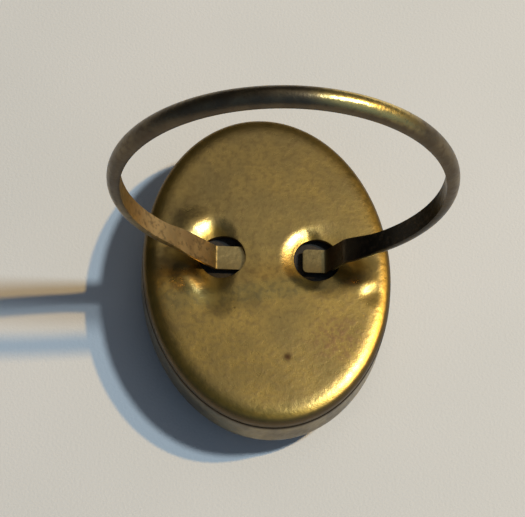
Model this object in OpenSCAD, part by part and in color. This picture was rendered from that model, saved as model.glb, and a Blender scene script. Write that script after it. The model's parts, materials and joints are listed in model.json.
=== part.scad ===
// Finger ring with an oval head, standing face down: the flat table of its stone lies
// on Z = 0, the back plate faces up, and the shank stands up across X.
// X runs across the finger and Y along it. All sizes are in millimetres.

/* [Head] */
// Width of the back plate
head_w = 14.4; // [14.2:0.1:16]
// Length of the back plate, along the finger
head_l = 19.6; // [19.2:0.1:21]
// Height of the head, from the stone's table to the back plate's face
head_h = 4.6; // [4.5:0.1:6]
// Angle by which the head is turned on its shank
head_turn = 3.3; // [-5:0.1:5]
// How far the head stands off the middle of the shank, across the finger
head_x = -0.1; // [-0.2:0.05:0.2]

/* [Back plate] */
// Thickness of the pressed sheet
plate_t = 0.35; // [0.3:0.05:0.4]
// Height of the plate's turned-down edge
skirt_h = 0.95; // [0.9:0.05:1.1]
// Outside radius of the plate's rounded edge
edge_r = 0.6; // [0.5:0.05:0.7]
// Diameter of the two holes for the shank
hole_d = 2.7; // [2.7:0.05:2.9]
// Distance of each hole's centre from the middle of the shank
hole_x = 2.75; // [2.75:0.05:2.85]

/* [Bezel] */
// How far the bezel's wall stands out past the back plate
bezel_proud = 0.05; // [0:0.05:0.3]
// Height of the bezel's underside above the stone's table
bezel_low = 1.3; // [1.1:0.1:1.4]
// Height of the upstand that the back plate is pressed over
upstand_h = 0.5; // [0.3:0.05:0.5]

/* [Stone] */
// Width of the stone
stone_w = 13; // [12:0.1:13]
// Length of the stone
stone_l = 18; // [17:0.1:18]
// Thickness of the stone
stone_t = 2.9; // [2.6:0.1:3]
// Height of the bevel round the stone's table
bevel_h = 1.5; // [1.5:0.1:1.8]
// Width of the bevel, at the sides of the stone
bevel_w = 1.5; // [1:0.1:2]

/* [Shank] */
// How far the shank and its holes stand off the middle of the plate, along the finger
shank_y = 0.4; // [0:0.1:0.5]
// Inside diameter, which is the finger's size
finger_d = 17.7; // [16:0.1:20]
// Width of the half-round wire
wire_w = 1.2; // [1.1:0.05:1.4]
// Thickness of the half-round wire
wire_t = 0.65; // [0.6:0.05:0.8]
// Width of the flattened ends
strap_w = 1.5; // [1.3:0.05:1.5]
// Thickness of the flattened ends
strap_t = 0.4; // [0.3:0.05:0.4]
// Gap between the finger's circle and the back plate
finger_gap = 0.1; // [0.05:0.05:0.2]

/* [Hidden] */
$fn = 96;

// Clearance between pressed or seated pieces
fit_gap = 0.02;
// Radius of the bezel's outer top corner
bezel_corner_r = 0.15;
// Radius of the bezel's wall where it turns in under the stone
bezel_turn_r = 0.65;
// How far a cutter runs past the face that it cuts
cut_past = 1;

head_ratio = head_l / head_w;
stone_ratio = stone_l / stone_w;

skirt_z = head_h - skirt_h;
plate_under_z = head_h - plate_t;
strap_low_z = plate_under_z - strap_t;

finger_r = finger_d / 2;
finger_z = head_h + finger_gap + finger_r;

// Place along X where each flattened end leaves the finger's circle, down to its hole
left_turn_x = 5.2;
right_turn_x = 4.2;
// Place along X where each end turns flat again, under the plate's face
left_knee_x = 2.95;
right_knee_x = 3.2;
// The left end is tucked under the plate's middle, and the right end stops in its hole
left_end_x = 0.9;
right_end_x = 1.95;
// Angle from the bottom of the circle at which the wire starts to be flattened
flatten_angle = 42;
// Angle by which neighbouring stretches of the shank run into each other
merge_angle = 1;

strap_mid_r = finger_r + strap_t / 2;

// A point of the XZ plane on the circle of radius r, at an angle from its bottom
function ring_point(r, angle) = [r * sin(angle), finger_z - r * cos(angle)];

// Radius of the half-round wire's arc, from its width and thickness
wire_arc_r = (wire_w * wire_w / 4 + wire_t * wire_t) / (2 * wire_t);

// An oval solid, placed and turned on the shank as the head is: a profile turned round Z
// a quarter at a time, then stretched along Y
module oval(ratio) {
    for (quarter = [0:90:270]) {
        translate([head_x, 0, 0])
            rotate([0, 0, head_turn])
            scale([1, ratio, 1])
                rotate([0, 0, quarter])
                    rotate_extrude(angle = 90)
                        children();
    }
}

// Half of a round-cornered box section, from the axis out to its rim
module rim_section(semi, height, low_r, top_r) {
    intersection() {
        square([semi, height]);
        union() {
            square([semi - low_r, height - top_r]);
            translate([0, low_r])
                square([semi, height - low_r - top_r]);
            translate([0, low_r])
                square([semi - top_r, height - low_r]);
            if (low_r > 0) {
                translate([semi - low_r, low_r])
                    circle(low_r);
            }
            translate([semi - top_r, height - top_r])
                circle(top_r);
        }
    }
}

// Half of the stone's section, grown sideways by gap
module stone_section(gap, top) {
    girdle = stone_w / 2 + gap;
    polygon([[0, 0], [girdle - bevel_w, 0], [girdle, bevel_h], [girdle, top], [0, top]]);
}

module back_plate() {
    color([0.59, 0.48, 0.26])
        difference() {
            translate([0, 0, skirt_z])
                oval(head_ratio)
                    rim_section(head_w / 2, skirt_h, 0, edge_r);
            translate([0, 0, skirt_z - cut_past])
                oval((head_l / 2 - plate_t) / (head_w / 2 - plate_t))
                    rim_section(head_w / 2 - plate_t, skirt_h - plate_t + cut_past, 0, edge_r - plate_t);
            for (side = [-1, 1]) {
                translate([side * hole_x, shank_y, plate_under_z - cut_past])
                    cylinder(h = plate_t + 2 * cut_past, d = hole_d);
            }
        }
}

module bezel() {
    upstand_semi = head_w / 2 - plate_t - fit_gap;
    upstand_ratio = (head_l / 2 - plate_t - fit_gap) / upstand_semi;
    color([0.47, 0.38, 0.21])
        difference() {
            union() {
                translate([0, 0, bezel_low])
                    oval((head_l / 2 + bezel_proud) / (head_w / 2 + bezel_proud))
                        rim_section(head_w / 2 + bezel_proud, skirt_z - bezel_low,
                                    bezel_turn_r, bezel_corner_r);
                translate([0, 0, bezel_low + bezel_turn_r])
                    oval(upstand_ratio)
                        rim_section(upstand_semi, skirt_z + upstand_h - bezel_low - bezel_turn_r,
                                    0, edge_r - plate_t);
            }
            oval(stone_ratio)
                stone_section(fit_gap, head_h + cut_past);
        }
}

module stone() {
    color([0.05, 0.05, 0.06])
        oval(stone_ratio)
            stone_section(0, stone_t);
}

// Packing between the stone and the shank's ends, which it keeps tight under the plate
module packing_card() {
    card_gap = 0.1;
    color([0.62, 0.55, 0.43])
        translate([0, 0, stone_t])
            oval(stone_ratio)
                square([stone_w / 2 - card_gap, strap_low_z - stone_t]);
}

// The round stretch of half-round wire, with its flat side to the finger
module shank_hoop() {
    translate([0, 0, finger_z])
        rotate([90, 0, 0])
            rotate([0, 0, flatten_angle - 90])
                rotate_extrude(angle = 360 - 2 * flatten_angle)
                    intersection() {
                        translate([finger_r + wire_t - wire_arc_r, 0])
                            circle(wire_arc_r);
                        translate([finger_r, -wire_w])
                            square(2 * wire_w);
                    }
}

// Outline in the XZ plane of a flattened end: round the finger, down into the hole, then flat
module strap_outline(turn_x, knee_x, end_x) {
    turn_angle = asin(turn_x / strap_mid_r);
    knee_z = strap_low_z + strap_t / 2;
    turn = ring_point(strap_mid_r, turn_angle);
    slope = atan2(turn[1] - knee_z, turn[0] - knee_x);
    mitre = strap_t / 2 * tan(slope / 2);
    arc_end = flatten_angle + merge_angle;
    // Far enough out for the wedge to hold the whole arc
    reach = 3 * finger_r;
    intersection() {
        translate([0, finger_z])
            difference() {
                circle(finger_r + strap_t);
                circle(finger_r);
            }
        polygon([[0, finger_z],
                 [reach * sin(turn_angle), finger_z - reach * cos(turn_angle)],
                 [reach * sin(arc_end), finger_z - reach * cos(arc_end)]]);
    }
    polygon([ring_point(finger_r, turn_angle),
             [knee_x - mitre, strap_low_z + strap_t],
             [end_x, strap_low_z + strap_t],
             [end_x, strap_low_z],
             [knee_x + mitre, strap_low_z],
             ring_point(finger_r + strap_t, turn_angle),
             ring_point(strap_mid_r, turn_angle + merge_angle)]);
}

module strap(turn_x, knee_x, end_x) {
    translate([0, strap_w / 2, 0])
        rotate([90, 0, 0])
            linear_extrude(strap_w)
                strap_outline(turn_x, knee_x, end_x);
}

module shank() {
    color([0.36, 0.30, 0.19])
        translate([0, shank_y, 0]) {
            shank_hoop();
            strap(right_turn_x, right_knee_x, right_end_x);
            mirror([1, 0, 0])
                strap(left_turn_x, left_knee_x, left_end_x);
        }
}

shank();
back_plate();
bezel();
stone();
packing_card();
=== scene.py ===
import bpy
import bmesh
import json
import math
from mathutils import Matrix, Vector


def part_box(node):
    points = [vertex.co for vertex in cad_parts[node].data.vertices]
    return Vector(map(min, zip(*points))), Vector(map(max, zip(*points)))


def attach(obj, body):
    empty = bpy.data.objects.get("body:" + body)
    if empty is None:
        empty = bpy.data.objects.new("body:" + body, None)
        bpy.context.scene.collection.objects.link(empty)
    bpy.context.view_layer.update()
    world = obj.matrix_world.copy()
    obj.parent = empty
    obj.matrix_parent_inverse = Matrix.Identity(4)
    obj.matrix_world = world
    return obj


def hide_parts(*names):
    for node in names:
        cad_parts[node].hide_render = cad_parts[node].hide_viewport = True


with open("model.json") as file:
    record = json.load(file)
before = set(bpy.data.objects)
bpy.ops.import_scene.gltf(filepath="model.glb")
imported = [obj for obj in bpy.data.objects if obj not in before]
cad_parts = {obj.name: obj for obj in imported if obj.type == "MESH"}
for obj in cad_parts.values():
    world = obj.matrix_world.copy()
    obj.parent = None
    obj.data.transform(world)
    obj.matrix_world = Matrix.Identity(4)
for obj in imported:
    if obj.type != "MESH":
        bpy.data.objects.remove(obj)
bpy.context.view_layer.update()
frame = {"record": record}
mm = 0.001
tiny = 1e-7  # two places this near are the same

# places that the CAD model gives
finger = next(m for m in frame["record"]["mounts"] if m["name"] == "finger_bore")
fingerR = finger["dims"]["r_mm"] * mm
shankY = finger["pos_m"][1]
fingerZ = finger["pos_m"][2]
shankLow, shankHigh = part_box("shank")
plateLow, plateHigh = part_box("back_plate")
bezelLow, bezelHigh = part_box("bezel")
stoneLow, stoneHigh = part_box("stone")
cardLow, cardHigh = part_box("packing_card")
plateTop = plateHigh.z
faceZ = plateTop / mm  # finishes read places in mm
headTurn = math.radians(3.3)  # the head sits a little turned on its shank
headX = (plateLow.x + plateHigh.x) / 2


def trueOval(low, high):  # an oval's half width and half length, from the box round it as it is turned
    across = (high.x - low.x) / 2
    along = (high.y - low.y) / 2
    cosSquared = math.cos(headTurn) ** 2
    sinSquared = math.sin(headTurn) ** 2
    spread = cosSquared * cosSquared - sinSquared * sinSquared
    halfWidth = math.sqrt((across * across * cosSquared - along * along * sinSquared) / spread)
    halfLength = math.sqrt((along * along * cosSquared - across * across * sinSquared) / spread)
    return halfWidth, halfLength


def deselectAll():
    for obj in bpy.context.selected_objects:
        obj.select_set(False)


def startPiece(name):  # the primitive just added becomes the piece, open in edit mode
    piece = bpy.context.object
    piece.name = name
    piece.data.name = name
    bpy.ops.object.transform_apply(location=True, rotation=True, scale=True)
    bpy.ops.object.mode_set(mode="EDIT")
    return piece


def middle(part):
    return sum((v.co for v in part.verts), Vector()) / len(part.verts)


def pick(kind, test):  # only the verts, edges or faces whose place or normal passes stay picked
    bpy.ops.mesh.select_mode(type=kind)
    bpy.ops.mesh.select_all(action="DESELECT")
    data = bpy.context.edit_object.data
    mesh = bmesh.from_edit_mesh(data)
    parts = {"VERT": mesh.verts, "EDGE": mesh.edges, "FACE": mesh.faces}[kind]
    for part in parts:
        if test(part):
            part.select_set(True)
    mesh.select_flush_mode()
    bmesh.update_edit_mesh(data)


def openEdge(edge):
    return len(edge.link_faces) == 1


def carryLoop(size, out, lift):  # the picked loop goes on, out sideways by an even margin and up
    bpy.ops.mesh.extrude_region_move(TRANSFORM_OT_translate={"value": (0, 0, lift)})
    grown = (size[0] + out, size[1] + out)
    bpy.ops.transform.resize(value=(grown[0] / size[0], grown[1] / size[1], 1), center_override=(0, 0, 0))
    return grown


def placeHead():  # the whole mesh is put as the head is; with no window the angle's sign is the other way
    bpy.ops.mesh.select_all(action="SELECT")
    bpy.ops.transform.rotate(value=-headTurn, orient_axis="Z", center_override=(0, 0, 0))
    bpy.ops.transform.translate(value=(headX, 0, 0))


def addModifier(piece, kind, **settings):
    modifier = piece.modifiers.new(kind.title(), kind)
    for key, value in settings.items():
        setattr(modifier, key, value)
    deselectAll()
    piece.select_set(True)
    bpy.context.view_layer.objects.active = piece
    bpy.ops.object.modifier_apply(modifier=modifier.name)


def finishPiece(piece, node, material, smoothAngle):
    deselectAll()
    piece.select_set(True)
    bpy.context.view_layer.objects.active = piece
    bpy.ops.object.shade_smooth_by_angle(angle=math.radians(smoothAngle))
    piece.data.materials.clear()
    piece.data.materials.append(material)
    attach(piece, "root")
    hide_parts(node)
    deselectAll()
    print("made", piece.name, len(piece.data.polygons), "faces")


class Link:  # a node's output that can stand in a sum
    def __init__(self, finish, socket):
        self.finish = finish
        self.socket = socket

    def maths(self, operation, first, second):
        return self.finish.add("ShaderNodeMath", {"operation": operation}, {0: first, 1: second})

    def __add__(self, other):
        return self.maths("ADD", self, other)

    def __sub__(self, other):
        return self.maths("SUBTRACT", self, other)

    def __rsub__(self, other):
        return self.maths("SUBTRACT", other, self)

    def __mul__(self, other):
        return self.maths("MULTIPLY", self, other)

    __radd__ = __add__
    __rmul__ = __mul__


class Finish:  # the nodes of one material, or of the world
    def __init__(self, owner, coordinates="Object", scale=1000):  # places on a piece are read in mm
        self.owner = owner
        owner.use_nodes = True
        self.tree = owner.node_tree
        self.tree.nodes.clear()
        place = self.add("ShaderNodeTexCoord", {}, {}, coordinates)
        self.place = self.add("ShaderNodeMapping", {}, {"Vector": place, "Scale": (scale, scale, scale)})

    def add(self, kind, settings, sockets, out=0):
        node = self.tree.nodes.new(kind)
        for key, value in settings.items():
            setattr(node, key, value)
        for key, value in sockets.items():
            if isinstance(value, Link):
                self.tree.links.new(value.socket, node.inputs[key])
            else:
                node.inputs[key].default_value = value
        return Link(self, node.outputs[out]) if node.outputs else None

    def noise(self, scale, detail=3.0, shift=0.0):
        moved = self.add("ShaderNodeVectorMath", {"operation": "ADD"},
                         {0: self.place, 1: (shift, shift, shift)})
        return self.add("ShaderNodeTexNoise", {}, {"Vector": moved, "Scale": scale, "Detail": detail})

    def ramp(self, value, low, high):  # 0 below low, 1 above high, soft between
        return self.add("ShaderNodeMapRange", {"interpolation_type": "SMOOTHSTEP"},
                        {"Value": value, "From Min": low, "From Max": high})

    def near(self, spot, reach, soft):  # 1 round a spot, in mm, and 0 past its reach
        gap = self.add("ShaderNodeVectorMath", {"operation": "DISTANCE"}, {0: self.place, 1: spot}, "Value")
        return 1 - self.ramp(gap, reach - soft, reach)

    def mix(self, amount, first, second):
        return self.add("ShaderNodeMix", {"data_type": "RGBA"}, {0: amount, 6: first, 7: second}, 2)

    def axis(self, name):
        return self.add("ShaderNodeSeparateXYZ", {}, {0: self.place}, name)

    def bump(self, height, distance):
        return self.add("ShaderNodeBump", {}, {"Distance": distance, "Height": height})

    def shade(self, sockets):
        surface = self.add("ShaderNodeBsdfPrincipled", {}, sockets)
        self.add("ShaderNodeOutputMaterial", {}, {"Surface": surface})
        return self.owner


def newFinish(name):
    return Finish(bpy.data.materials.new(name))


viewFrom = {
    "tilt": 26.52,  # degrees from straight above
    "swing": -4.24,
    "roll": 0.41,
    "distance": 115.17 * mm,
    "aimRight": -0.4196 * mm,
    "aimUp": 0.27 * mm,
    "lens": 136.83,
    "sensorWidth": 36,
    "clipStart": 10 * mm,
}


def placeCamera(look):
    tilt = math.radians(look["tilt"])
    swing = math.radians(look["swing"])
    toCamera = Vector((math.sin(swing) * math.cos(tilt), -math.sin(tilt), math.cos(swing) * math.cos(tilt)))
    toCamera.normalize()
    right = Vector((0, 1, 0)).cross(toCamera).normalized()
    up = toCamera.cross(right)
    roll = math.radians(look["roll"])
    rolledRight = right * math.cos(roll) + up * math.sin(roll)
    rolledUp = up * math.cos(roll) - right * math.sin(roll)
    aim = Vector((0, 0, plateTop)) + rolledRight * look["aimRight"] + rolledUp * look["aimUp"]
    bpy.ops.object.camera_add(location=aim + toCamera * look["distance"])
    camera = bpy.context.object
    camera.name = "camera"
    camera.rotation_euler = Matrix((rolledRight, rolledUp, toCamera)).transposed().to_euler()
    camera.data.lens = look["lens"]
    camera.data.sensor_width = look["sensorWidth"]
    camera.data.clip_start = look["clipStart"]
    bpy.context.scene.camera = camera
    print("camera placed")


lamps = {
    "windowLamp": {"toward": (0.60, 0.07, 1), "away": 0.50, "size": 0.050, "power": 1.40,
                   "colour": (0.68, 0.86, 1.0)},
    "warmLamp": {"toward": (0.80, 0.185, 1), "away": 0.50, "size": 0.018, "power": 1.30,
                 "colour": (1.0, 0.66, 0.22)},
    "softBox": {"toward": (0.074, 0.50, 1), "away": 0.60, "size": 0.36, "power": 0.10,
                "colour": (1.0, 0.98, 0.92)},
}
surround = {
    "front": (0.175, 0.245, 0.345, 1),  # cool light from the viewer's side
    "back": (0.065, 0.066, 0.066, 1),
    "left": 0.42,  # how much of it comes from the left
    "fade": (-0.7, 0.5),  # where it goes over from front to back, and from left to right
}


def placeLamps():
    centre = Vector((0, 0, plateTop))
    for name, lamp in lamps.items():
        toward = Vector(lamp["toward"]).normalized()
        bpy.ops.object.light_add(type="AREA", location=centre + toward * lamp["away"])
        light = bpy.context.object
        light.name = name
        light.rotation_euler = toward.to_track_quat("Z", "Y").to_euler()
        light.data.shape = "DISK"
        light.data.size = lamp["size"]
        light.data.energy = lamp["power"]
        light.data.color = lamp["colour"]
    world = bpy.data.worlds.new("surround")
    sky = Finish(world, "Generated", 1)
    colour = sky.mix(sky.ramp(sky.axis("Y"), *surround["fade"]), surround["front"], surround["back"])
    strength = surround["left"] + sky.ramp(sky.axis("X"), *surround["fade"]) * (1 - surround["left"])
    glow = sky.add("ShaderNodeBackground", {}, {"Color": colour, "Strength": strength})
    sky.add("ShaderNodeOutputWorld", {}, {"Surface": glow})
    bpy.context.scene.world = world
    print("lamps placed")


tableTop = {
    "side": 800 * mm,
    "colour": (0.74, 0.725, 0.715, 1),
    "shade": (0.71, 0.70, 0.69, 1),
    "roughness": 0.85,
    "grain": 0.02 * mm,
}


def makeTable():
    deselectAll()
    bpy.ops.mesh.primitive_plane_add(size=tableTop["side"], location=(0, 0, 0))
    table = bpy.context.object
    table.name = "table_top"
    paper = newFinish("palePaper")
    cloudy = paper.noise(0.05, 2.0)
    grain = paper.noise(6.0, 3.0)
    colour = paper.mix(paper.ramp(cloudy, 0.35, 0.65), tableTop["colour"], tableTop["shade"])
    table.data.materials.append(paper.shade({"Base Color": colour, "Roughness": tableTop["roughness"],
                                             "Normal": paper.bump(grain, tableTop["grain"])}))
    deselectAll()
    print("table laid")


# the shank is made straight, its ends are rolled flat, and then it is bent round the finger

shankLook = {
    "brass": (0.195, 0.152, 0.092, 1),
    "dull": (0.125, 0.098, 0.065, 1),
    "edges": (0.07, 0.052, 0.036, 1),
    "wornAndHighlight": (0.98, 0.74, 0.25, 1),  # bare worn brass and a painted highlight, over the top right
    "paintedFootLight": (0.66, 0.46, 0.21, 1),  # the foot of the left side, painted lighter where lamplight falls on it: painted light
    "stained": (0.20, 0.115, 0.06, 1),
    "paintedFootShade": (0.02, 0.018, 0.015, 1),  # the foot of the right side, painted near black: painted shade
    "mottle": (0.10, 0.07, 0.045, 1),
    "tips": (0.37, 0.285, 0.12, 1),  # the ends in the holes
    "sectionVerts": 32,
    "wireEdge": 0.1 * mm,  # rounding where the flat and the round side meet
    "hoopStep": 0.2 * mm,
    "endStep": 0.06 * mm,
    "arcSteps": 320,
    "flattenFrom": 44.0,  # degrees from the bottom of the finger's circle
    "flattened": 30.0,
    # where each end leaves the circle, where it turns flat, and where it stops
    "left": {"turnAt": 5.3 * mm, "kneeAt": 3.1 * mm, "end": 0.9 * mm},
    "right": {"turnAt": 4.25 * mm, "kneeAt": 3.3 * mm, "end": 1.95 * mm},
    "wireSize": (1.2 * mm, shankHigh.x - fingerR),
    "strapSize": (1.5 * mm, 0.4 * mm),
    "turnRadius": 0.9 * mm,
    "kneeRadius": 0.22 * mm,
    "cornerRound": 0.28 * mm,
    "tipThinned": 0.25,  # how much of the thickness is lost at the very tip
    "tipNarrowed": 1.6,  # how much narrower the very tip is, in corner rounds
}


def makeShankBrass(look):
    brass = newFinish("shankBrass")
    patchy = brass.noise(0.6, 4.0, 5.0)
    fine = brass.noise(3.0, 4.0, 1.0)
    grain = brass.noise(12.0, 2.0)
    across = brass.axis("X")
    up = brass.axis("Z") - faceZ
    colour = brass.mix(brass.ramp(patchy, 0.35, 0.65), look["brass"], look["dull"])
    fromMiddle = brass.axis("Y") - shankY / mm  # like across and up, in mm
    edges = brass.ramp(fromMiddle * fromMiddle, 0.06, 0.32)
    colour = brass.mix(edges * brass.ramp(up, 5.4, 8.4) * 0.6, colour, look["edges"])
    # painted highlight and wear: bright bare brass over the top right of the hoop, where the lamps glint
    wornAndHighlight = brass.ramp(across, 0.2, 3.0) * (1 - brass.ramp(across, 4.6, 7.0))
    wornAndHighlight = wornAndHighlight * brass.ramp(up, 13.9, 15.9) * (1 - edges)
    colour = brass.mix(wornAndHighlight, colour, look["wornAndHighlight"])
    # painted light: the left foot is made lighter where the lamps fall on it
    paintedFootLight = (1 - brass.ramp(across, -2.0, -0.5)) * (1 - brass.ramp(up, 2.9, 7.4))
    colour = brass.mix(paintedFootLight * 0.85, colour, look["paintedFootLight"])
    stained = (1 - brass.ramp(up, 0.1, 2.9)) * brass.ramp(patchy, 0.40, 0.60)
    colour = brass.mix(stained * 0.7, colour, look["stained"])
    # painted shade: the right foot is made near black
    paintedFootShade = brass.ramp(across, 4.0, 5.5) * (1 - brass.ramp(up, 6.4, 9.9))
    colour = brass.mix(paintedFootShade * 0.9, colour, look["paintedFootShade"])
    colour = brass.mix(brass.ramp(fine, 0.48, 0.70) * (0.6 - wornAndHighlight * 0.55), colour, look["mottle"])
    tips = 1 - brass.ramp(up, -0.33, 0.0)
    colour = brass.mix(tips * 0.75, colour, look["tips"])
    rough = 0.32 + brass.ramp(fine, 0.3, 0.8) * 0.10 - wornAndHighlight * 0.10
    height = patchy * 0.5 + fine * 0.5 + grain * 0.1
    return brass.shade({"Base Color": colour, "Metallic": 1.0, "Roughness": rough,
                        "Normal": brass.bump(height, 0.04 * mm)})


def roundedCorner(before, corner, after, radius, steps=12):
    inward = (before - corner).normalized()
    outward = (after - corner).normalized()
    half = inward.angle(outward) / 2
    start = corner + inward * (radius / math.tan(half))
    centre = corner + (inward + outward).normalized() * (radius / math.sin(half))
    arm = start - centre
    turn = math.pi - 2 * half
    if inward.x * outward.y - inward.y * outward.x > 0:
        turn = -turn
    return [centre + Matrix.Rotation(turn * i / steps, 2) @ arm for i in range(steps + 1)]


def endPath(look, end):  # the inner face of one end, from its tip to the top of the hoop
    flatZ = shankLow.z + look["strapSize"][1]
    turn = math.asin(end["turnAt"] / fingerR)
    arc = []
    for i in range(look["arcSteps"] + 1):
        angle = turn + (math.pi - turn) * i / look["arcSteps"]
        arc.append(Vector((fingerR * math.sin(angle), fingerZ - fingerR * math.cos(angle))))
    tip = Vector((end["end"], flatZ))
    knee = Vector((end["kneeAt"], flatZ))
    points = [tip]
    points += roundedCorner(tip, knee, arc[0], look["kneeRadius"])
    blended = 5  # the rounded turn takes up this many steps of the arc
    points += roundedCorner(knee, arc[0], arc[blended], look["turnRadius"])
    return points + arc[blended + 1:]


def shankPath(look):  # from the left tip over the top to the right tip
    left = [Vector((-point.x, point.y)) for point in endPath(look, look["left"])]
    right = endPath(look, look["right"])
    return left + right[-2::-1]


def pathCurve(points):
    curve = bpy.data.curves.new("shankPath", "CURVE")
    curve.dimensions = "2D"
    spline = curve.splines.new("POLY")
    spline.points.add(len(points) - 1)
    for point, place in zip(spline.points, points):
        point.co = (place.x, place.y, 0, 1)
    path = bpy.data.objects.new("shankPath", curve)
    bpy.context.scene.collection.objects.link(path)
    path.rotation_euler = (math.pi / 2, 0, 0)
    path.location = (0, shankY, 0)
    return path


def halfHoop(look):  # length from the top of the hoop to where the wire starts to be flattened
    return fingerR * math.radians(180 - look["flattenFrom"])


def rollEnd(look, side, length):  # picks one end face and draws it out flat, to its rounded tip
    width, thick = look["wireSize"]
    flatWidth, flatThick = look["strapSize"]
    taper = fingerR * math.radians(look["flattenFrom"] - look["flattened"])
    at = halfHoop(look)
    nearEnd = at * 0.99
    pick("FACE", lambda face: face.normal.x * side > 0.9 and middle(face).x * side > nearEnd)
    sizeNow = [thick, width]
    steps = int(length / look["endStep"])
    for i in range(1, steps + 1):
        gone = length * i / steps
        amount = min(gone / taper, 1)
        amount = amount * amount * (3 - 2 * amount)
        left = length - gone
        tip = max(0, 1 - left / look["cornerRound"])
        fullness = math.sqrt(max(0, 1 - tip * tip))
        thickness = (thick + (flatThick - thick) * amount) * (1 - look["tipThinned"] * (1 - fullness))
        narrowed = look["tipNarrowed"] * look["cornerRound"] * (1 - fullness)
        wanted = [thickness, width + (flatWidth - width) * amount - narrowed]
        step = (length / steps) * side
        bpy.ops.mesh.extrude_region_move(TRANSFORM_OT_translate={"value": (step, 0, 0)})
        at += abs(step)
        bpy.ops.transform.resize(value=(1, wanted[0] / sizeNow[0], wanted[1] / sizeNow[1]),
                                 center_override=(at * side, 0, 0))
        sizeNow = wanted


def makeShank(look, material):
    width, thick = look["wireSize"]
    arc = (width * width / 4 + thick * thick) / (2 * thick)
    hoopHalf = halfHoop(look)
    points = shankPath(look)
    lengths = [0]
    for first, second in zip(points, points[1:]):
        lengths.append(lengths[-1] + (second - first).length)
    topAt = next(s for s, p in zip(lengths, points) if p.x > -tiny and p.y > fingerZ)
    deselectAll()
    bpy.ops.mesh.primitive_circle_add(vertices=look["sectionVerts"], radius=arc, fill_type="NGON",
                                      location=(-hoopHalf, thick - arc, 0), rotation=(0, math.pi / 2, 0))
    piece = startPiece("ring_shank")
    bpy.ops.mesh.select_all(action="SELECT")
    bpy.ops.mesh.bisect(plane_co=(0, 0, 0), plane_no=(0, 1, 0), clear_inner=True)
    pick("VERT", lambda vert: abs(vert.co.y) < tiny)
    bpy.ops.mesh.bevel(offset=look["wireEdge"], segments=3, affect="VERTICES")
    bpy.ops.mesh.select_all(action="SELECT")
    bpy.ops.mesh.extrude_region_move(TRANSFORM_OT_translate={"value": (2 * hoopHalf, 0, 0)})
    bpy.ops.mesh.select_all(action="SELECT")
    bpy.ops.mesh.normals_make_consistent(inside=False)
    pick("EDGE", lambda edge: abs(edge.verts[0].co.x - edge.verts[1].co.x) > hoopHalf)
    bpy.ops.mesh.subdivide(number_cuts=int(2 * hoopHalf / look["hoopStep"]))
    rollEnd(look, 1, lengths[-1] - topAt - hoopHalf)
    rollEnd(look, -1, topAt - hoopHalf)
    bpy.ops.mesh.select_all(action="SELECT")
    bpy.ops.transform.translate(value=(topAt, 0, 0))
    bpy.ops.mesh.normals_make_consistent(inside=False)
    bpy.ops.object.mode_set(mode="OBJECT")
    path = pathCurve(points)
    piece.rotation_euler = path.rotation_euler
    piece.location = path.location
    addModifier(piece, "CURVE", object=path, deform_axis="POS_X")
    bpy.ops.object.transform_apply(location=True, rotation=True, scale=True)
    bpy.data.objects.remove(path)
    finishPiece(piece, "shank", material, smoothAngle=40)


# the back plate is a pressed pan with a soft shoulder, two punched holes and dents at the shank's ends

plateLook = {
    "brass": (0.66, 0.44, 0.125, 1),
    "patches": (0.51, 0.35, 0.115, 1),
    "clouds": (0.42, 0.33, 0.15, 1),
    "dull": (0.32, 0.235, 0.12, 1),  # painted shade, darker toward the far left
    "mottle": (0.32, 0.215, 0.085, 1),
    "reddish": (0.33, 0.17, 0.085, 1),
    # the colour of the painted shade and shadow round the shank's ends
    "shade": (0.10, 0.075, 0.04, 1),
    "speck": (0.12, 0.055, 0.025, 1),
    "shoulder": (0.34, 0.21, 0.04, 1),
    "edge": (0.10, 0.075, 0.05, 1),  # the turned-down edge is darker
    "specks": [  # x, y and size in mm
        (1.05, -5.85, 0.25), (3.9, -6.9, 0.09), (3.7, -7.2, 0.07), (2.75, -7.0, 0.06), (3.8, -6.1, 0.06),
        (1.9, 8.15, 0.09), (1.75, 8.6, 0.07), (-2.0, -2.9, 0.07), (-4.4, -4.3, 0.06), (0.6, -3.4, 0.05),
    ],
    "paintedShadeSpots": [  # x, y and reach in mm, and strength, of the painted shade and shadow round the shank's ends
        (-5.7, 0.0, 1.7, 0.75), (-4.3, -0.3, 1.1, 0.5), (-3.2, -2.4, 1.5, 0.35), (-1.2, -2.3, 1.4, 0.4),
        (4.4, -0.7, 1.3, 0.6), (3.0, -1.2, 1.0, 0.5), (6.2, 0.5, 1.0, 0.5), (-5.2, 3.0, 1.9, 0.45),
    ],
    "ringVerts": 256,
    "skirtSteps": 3,
    "thick": 0.35 * mm,
    "crown": 0.09 * mm,
    "crownReach": 5.5 * mm,
    "bends": [  # out to the rim: tilt at the start and the end in degrees, radius, steps
        (2.0, 8.0, 4.4 * mm, 6),
        (8.0, 24.0, 1.9 * mm, 10),
        (24.0, 90.0, 0.45 * mm, 12),
    ],
    "holeX": 2.75 * mm,
    "holeR": 1.35 * mm,
    "holeEdge": 0.06 * mm,
    "presses": [  # which hole, the side of it that was pressed down, how far down and how far round, in mm
        (-1, -1, 0.27, 1.5), (-1, 1, 0.03, 1.0), (1, -1, 0.19, 0.9), (1, 1, 0.12, 1.4),
    ],
    "dents": [  # x, y, depth and reach of each soft dent, or of a swelling beside it, in mm
        (-5.3, 0.5, 0.12, 1.4), (-4.45, 2.35, -0.13, 1.45),
        (-4.6, -0.95, -0.20, 1.3), (-3.0, -2.3, 0.14, 1.5),
        (4.9, 0.2, 0.15, 1.6), (5.3, -0.9, -0.08, 1.0), (5.9, -1.7, 0.06, 0.9),
        (0.0, -1.9, 0.05, 3.2), (-4.3, 4.6, 0.05, 2.6),
    ],
}


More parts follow.
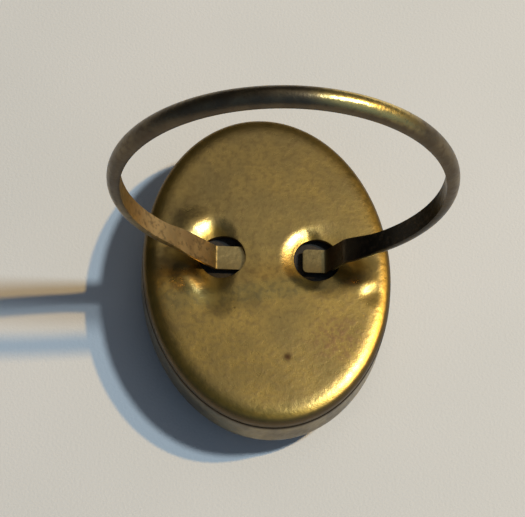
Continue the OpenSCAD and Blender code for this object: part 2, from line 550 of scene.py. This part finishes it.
def makePlateBrass(look):
    brass = newFinish("plateBrass")
    cloudy = brass.noise(0.16, 2.0, 12.0)
    patchy = brass.noise(0.55, 5.0, 3.0)
    fine = brass.noise(2.8, 5.0, 9.0)
    grain = brass.noise(16.0, 2.0)
    colour = brass.mix(brass.ramp(patchy, 0.36, 0.66), look["brass"], look["patches"])
    colour = brass.mix(brass.ramp(cloudy, 0.4, 0.6) * 0.25, colour, look["clouds"])
    # painted shade: the face is made darker toward the far left
    paintedFarShade = brass.ramp(brass.axis("Y") - brass.axis("X") * 0.6, -1.0, 9.5)
    colour = brass.mix(paintedFarShade * 0.35, colour, look["dull"])
    colour = brass.mix(brass.ramp(fine, 0.41, 0.69) * 0.7, colour, look["mottle"])
    reddish = brass.near((3.9, -4.6, faceZ), 2.2, 1.8) * brass.ramp(fine, 0.38, 0.62)
    colour = brass.mix(reddish * 0.6, colour, look["reddish"])
    # painted shade and shadow: darker spots round the shank's ends and where the hoop's shadow crosses the
    # face
    for x, y, reach, strength in look["paintedShadeSpots"]:
        shade = brass.near((x, y, faceZ - 0.1), reach, reach) * brass.ramp(patchy, 0.2, 0.5)
        colour = brass.mix(shade * strength, colour, look["shade"])
    for x, y, size in look["specks"]:
        speck = brass.near((x, y, faceZ), size * 1.5, size * 1.3)
        colour = brass.mix(speck * 0.9, colour, look["speck"])
    down = faceZ - brass.axis("Z")
    shoulder = brass.ramp(down, 0.08, 0.24)
    colour = brass.mix(shoulder * 0.85, colour, look["shoulder"])
    edge = brass.ramp(down, 0.20, 0.48)
    colour = brass.mix(edge * 0.88, colour, look["edge"])
    rough = 0.27 + brass.ramp(fine, 0.3, 0.8) * 0.1 + shoulder * 0.05 + edge * 0.12
    height = patchy * 0.6 + fine * 0.45 + grain * 0.18
    return brass.shade({"Base Color": colour, "Metallic": 1.0, "Roughness": rough,
                        "Normal": brass.bump(height, 0.03 * mm)})


def roundHole(piece, centre, radius):  # the ragged loop that is picked is drawn onto a circle, evenly
    mesh = bmesh.from_edit_mesh(piece.data)
    ragged = [vert for vert in mesh.verts if vert.select]
    order = [ragged[0]]
    before = None
    while len(order) < len(ragged):
        here = order[-1]
        neighbours = [edge.other_vert(here) for edge in here.link_edges if openEdge(edge)]
        order.append(neighbours[0] if neighbours[0] != before else neighbours[1])
        before = here
    start = (order[0].co - centre).xy
    quarter = (order[len(order) // 4].co - centre).xy
    turn = math.copysign(2 * math.pi / len(order), start.cross(quarter))
    for i, vert in enumerate(order):
        arm = Matrix.Rotation(turn * i, 2) @ start.normalized() * radius
        vert.co = Vector((centre.x + arm.x, centre.y + arm.y, vert.co.z))
    bmesh.update_edit_mesh(piece.data)


def pressSheet(look):  # a crowned disc with a soft shoulder and a turned-down edge
    halfWidth, halfLength = trueOval(plateLow, plateHigh)
    margin = 0
    for start, stop, radius, _ in look["bends"]:
        margin += radius * (math.sin(math.radians(stop)) - math.sin(math.radians(start)))
    size = (halfWidth - margin, halfLength - margin)
    deselectAll()
    bpy.ops.mesh.primitive_circle_add(vertices=look["ringVerts"], radius=size[0], location=(0, 0, plateTop))
    piece = startPiece("back_plate_pressing")
    bpy.ops.mesh.select_all(action="SELECT")
    bpy.ops.transform.resize(value=(1, size[1] / size[0], 1), center_override=(0, 0, 0))
    bpy.ops.mesh.fill_grid(span=look["ringVerts"] // 4)
    bpy.ops.mesh.subdivide(number_cuts=1)
    pick("EDGE", openEdge)
    bpy.ops.transform.translate(value=(0, 0, -look["crown"]), use_proportional_edit=True,
                                proportional_edit_falloff="SHARP", proportional_size=look["crownReach"])
    rimZ = plateTop - look["crown"]
    for start, stop, radius, steps in look["bends"]:  # out over the shoulder and down
        for i in range(steps):
            first = math.radians(start + (stop - start) * i / steps)
            second = math.radians(start + (stop - start) * (i + 1) / steps)
            lift = radius * (math.cos(second) - math.cos(first))
            size = carryLoop(size, radius * (math.sin(second) - math.sin(first)), lift)
            rimZ += lift
    for i in range(look["skirtSteps"]):
        size = carryLoop(size, 0, (plateLow.z - rimZ) / look["skirtSteps"])
    placeHead()
    return piece


def holeCentre(look, side):
    return Vector((side * look["holeX"], shankY, plateTop))


def punchHole(piece, centre, radius):
    nearby = radius * 1.3
    pick("FACE", lambda face: (middle(face) - centre).xy.length < radius and face.normal.z > 0.5)
    bpy.ops.mesh.delete(type="FACE")
    pick("EDGE", lambda edge: openEdge(edge) and (middle(edge) - centre).length < nearby)
    roundHole(piece, centre, radius)
    pick("VERT", lambda vert: (vert.co - centre).xy.length < nearby
         and not any(openEdge(edge) for edge in vert.link_edges))
    bpy.ops.mesh.vertices_smooth(factor=0.5, repeat=6)


def pressDown(depth, reach):  # what is picked goes down, and what is round it follows softly
    bpy.ops.transform.translate(value=(0, 0, -depth * mm), use_proportional_edit=True,
                                proportional_edit_falloff="SMOOTH", proportional_size=reach * mm)


def makePlate(look, material):
    piece = pressSheet(look)
    for side in (-1, 1):
        punchHole(piece, holeCentre(look, side), look["holeR"])
    for side, pressedSide, depth, reach in look["presses"]:
        centre = holeCentre(look, side)
        pick("VERT", lambda vert: abs((vert.co - centre).xy.length - look["holeR"]) < 0.001 * mm
             and (vert.co.x - centre.x) * pressedSide > look["holeR"] * 0.35)
        pressDown(depth, reach)
    for x, y, depth, reach in look["dents"]:
        spot = Vector((x * mm, y * mm, plateTop))
        verts = bmesh.from_edit_mesh(piece.data).verts
        nearest = min(verts, key=lambda vert: (vert.co - spot).length).co.copy()
        pick("VERT", lambda vert: (vert.co - nearest).length < 0.01 * mm)
        pressDown(depth, reach)
    bpy.ops.mesh.select_all(action="SELECT")
    bpy.ops.mesh.normals_make_consistent(inside=False)
    bpy.ops.object.mode_set(mode="OBJECT")
    addModifier(piece, "SOLIDIFY", thickness=look["thick"], offset=-1)
    addModifier(piece, "BEVEL", width=look["holeEdge"], segments=3, limit_method="ANGLE",
                angle_limit=math.radians(50))
    finishPiece(piece, "back_plate", material, smoothAngle=50)


# the bezel is a drawn wall turned in under the stone, with an upstand inside the plate

bezelLook = {
    "brass": (0.27, 0.22, 0.135, 1),
    "dull": (0.17, 0.14, 0.095, 1),
    "seam": (0.06, 0.045, 0.03, 1),  # dirt in the seam under the plate
    "ringVerts": 256,
    "turnRadius": 0.65 * mm,
    "cornerRadius": 0.15 * mm,
    "plateWall": 0.39 * mm,  # from the plate's outside to the upstand
    "upstand": 0.5 * mm,
    "proud": 0.05 * mm,
    "stoneGap": 0.03 * mm,
    "girdle": 1.5 * mm,  # height at which the wall starts to close in under the stone
    "closeIn": 0.2 * mm,
    "turnSteps": 12,
    "wallSteps": 6,
    "cornerSteps": 5,
}


def makeBezelBrass(look):
    brass = newFinish("bezelBrass")
    patchy = brass.noise(0.7, 4.0, 7.0)
    fine = brass.noise(3.0, 4.0, 2.0)
    seam = brass.ramp(brass.axis("Z") - plateLow.z / mm, -0.35, -0.03)
    colour = brass.mix(brass.ramp(patchy, 0.35, 0.65), look["brass"], look["dull"])
    colour = brass.mix(seam, colour, look["seam"])
    rough = 0.32 + brass.ramp(fine, 0.3, 0.8) * 0.15
    return brass.shade({"Base Color": colour, "Metallic": 1.0, "Roughness": rough,
                        "Normal": brass.bump(patchy + fine * 0.3, 0.05 * mm)})


def makeBezel(look, material):
    halfWidth, halfLength = trueOval(bezelLow, bezelHigh)
    stoneWidth, stoneLength = trueOval(stoneLow, stoneHigh)
    lowZ = bezelLow.z
    shelfZ = plateLow.z
    size = (halfWidth - look["turnRadius"], halfLength - look["turnRadius"])
    deselectAll()
    bpy.ops.mesh.primitive_circle_add(vertices=look["ringVerts"], radius=size[0], location=(0, 0, lowZ))
    piece = startPiece("bezel_wall")
    bpy.ops.mesh.select_all(action="SELECT")
    bpy.ops.transform.resize(value=(1, size[1] / size[0], 1), center_override=(0, 0, 0))
    for i in range(look["turnSteps"]):  # out and up, from under the stone
        first = math.pi / 2 * i / look["turnSteps"]
        second = math.pi / 2 * (i + 1) / look["turnSteps"]
        size = carryLoop(size, look["turnRadius"] * (math.sin(second) - math.sin(first)),
                         look["turnRadius"] * (math.cos(first) - math.cos(second)))
    wall = shelfZ - look["cornerRadius"] - lowZ - look["turnRadius"]
    for i in range(look["wallSteps"]):  # up the outside
        size = carryLoop(size, 0, wall / look["wallSteps"])
    for i in range(look["cornerSteps"]):  # over the top corner
        first = math.pi / 2 * i / look["cornerSteps"]
        second = math.pi / 2 * (i + 1) / look["cornerSteps"]
        size = carryLoop(size, look["cornerRadius"] * (math.cos(second) - math.cos(first)),
                         look["cornerRadius"] * (math.sin(second) - math.sin(first)))
    # in under the plate's edge, up inside the plate, and down round the stone
    size = carryLoop(size, look["cornerRadius"] - look["proud"] - look["plateWall"], 0)
    size = carryLoop(size, 0, look["upstand"])
    inner = (stoneWidth + look["stoneGap"], stoneLength + look["stoneGap"])
    size = carryLoop(size, inner[0] - size[0], 0)
    bpy.ops.transform.resize(value=(1, inner[1] / size[1], 1), center_override=(0, 0, 0))
    size = inner
    size = carryLoop(size, 0, look["girdle"] - shelfZ - look["upstand"])
    carryLoop(size, -look["closeIn"], lowZ - look["girdle"])
    placeHead()
    pick("EDGE", openEdge)
    bpy.ops.mesh.bridge_edge_loops()
    bpy.ops.mesh.select_all(action="SELECT")
    bpy.ops.mesh.normals_make_consistent(inside=False)
    bpy.ops.object.mode_set(mode="OBJECT")
    finishPiece(piece, "bezel", material, smoothAngle=45)


# the stone is an oval tablet of black glass with a bevelled front

stoneLook = {
    "black": (0.006, 0.006, 0.008, 1),
    "haze": (0.012, 0.011, 0.012, 1),
    "ringVerts": 256,
    "bevelHeight": 1.5 * mm,
    "bevelWidth": 1.5 * mm,
    "softEdge": 0.12 * mm,
}


def makeBlackGlass(look):
    glass = newFinish("blackGlass")
    haze = glass.noise(1.2, 3.0)
    scratches = glass.noise(9.0, 2.0)
    rough = 0.06 + glass.ramp(haze, 0.45, 0.8) * 0.08
    return glass.shade({"Base Color": glass.mix(haze, look["black"], look["haze"]), "Roughness": rough,
                        "IOR": 1.52, "Normal": glass.bump(scratches, 0.002 * mm)})


def makeStone(look, material):
    halfWidth, halfLength = trueOval(stoneLow, stoneHigh)
    deselectAll()
    bpy.ops.mesh.primitive_circle_add(vertices=look["ringVerts"], radius=halfWidth, fill_type="NGON",
                                      location=(0, 0, stoneHigh.z))
    piece = startPiece("stone_tablet")
    bpy.ops.mesh.select_all(action="SELECT")
    bpy.ops.transform.resize(value=(1, halfLength / halfWidth, 1), center_override=(0, 0, 0))
    carryLoop((halfWidth, halfLength), 0, look["bevelHeight"] - stoneHigh.z)
    bpy.ops.mesh.extrude_region_move(TRANSFORM_OT_translate={"value": (0, 0, -look["bevelHeight"])})
    table = 1 - look["bevelWidth"] / halfWidth
    bpy.ops.transform.resize(value=(table, table, 1), center_override=(0, 0, 0))
    placeHead()
    bpy.ops.mesh.normals_make_consistent(inside=False)
    bpy.ops.object.mode_set(mode="OBJECT")
    addModifier(piece, "BEVEL", width=look["softEdge"], segments=3, limit_method="ANGLE",
                angle_limit=math.radians(30))
    finishPiece(piece, "stone", material, smoothAngle=25)


# the packing is a disc of pressed card with a crushed edge

cardLook = {
    "card": (0.030, 0.024, 0.018, 1),
    "pale": (0.05, 0.04, 0.03, 1),
    "ringVerts": 128,
    "crush": 0.14 * mm,
}


def makeCard(look):
    card = newFinish("pressedCard")
    fibre = card.noise(5.0, 5.0)
    cloudy = card.noise(0.8, 3.0)
    colour = card.mix(card.ramp(cloudy, 0.35, 0.65), look["card"], look["pale"])
    return card.shade({"Base Color": colour, "Roughness": 0.9, "Normal": card.bump(fibre, 0.06 * mm)})


def makeCardDisc(look, material):
    halfWidth, halfLength = trueOval(cardLow, cardHigh)
    deselectAll()
    bpy.ops.mesh.primitive_circle_add(vertices=look["ringVerts"], radius=halfWidth, fill_type="NGON",
                                      location=(0, 0, cardLow.z))
    piece = startPiece("packing_disc")
    bpy.ops.mesh.select_all(action="SELECT")
    bpy.ops.transform.resize(value=(1, halfLength / halfWidth, 1), center_override=(0, 0, 0))
    carryLoop((halfWidth, halfLength), 0, cardHigh.z - cardLow.z)
    placeHead()
    bpy.ops.mesh.normals_make_consistent(inside=False)
    bpy.ops.object.mode_set(mode="OBJECT")
    addModifier(piece, "BEVEL", width=look["crush"], segments=3, limit_method="ANGLE",
                angle_limit=math.radians(40))
    finishPiece(piece, "packing_card", material, smoothAngle=40)


deselectAll()
placeCamera(viewFrom)
placeLamps()
makeTable()
makeShank(shankLook, makeShankBrass(shankLook))
makePlate(plateLook, makePlateBrass(plateLook))
makeBezel(bezelLook, makeBezelBrass(bezelLook))
makeStone(stoneLook, makeBlackGlass(stoneLook))
makeCardDisc(cardLook, makeCard(cardLook))

bpy.context.scene.view_settings.view_transform = "Standard"  # the brass keeps its strong highlights
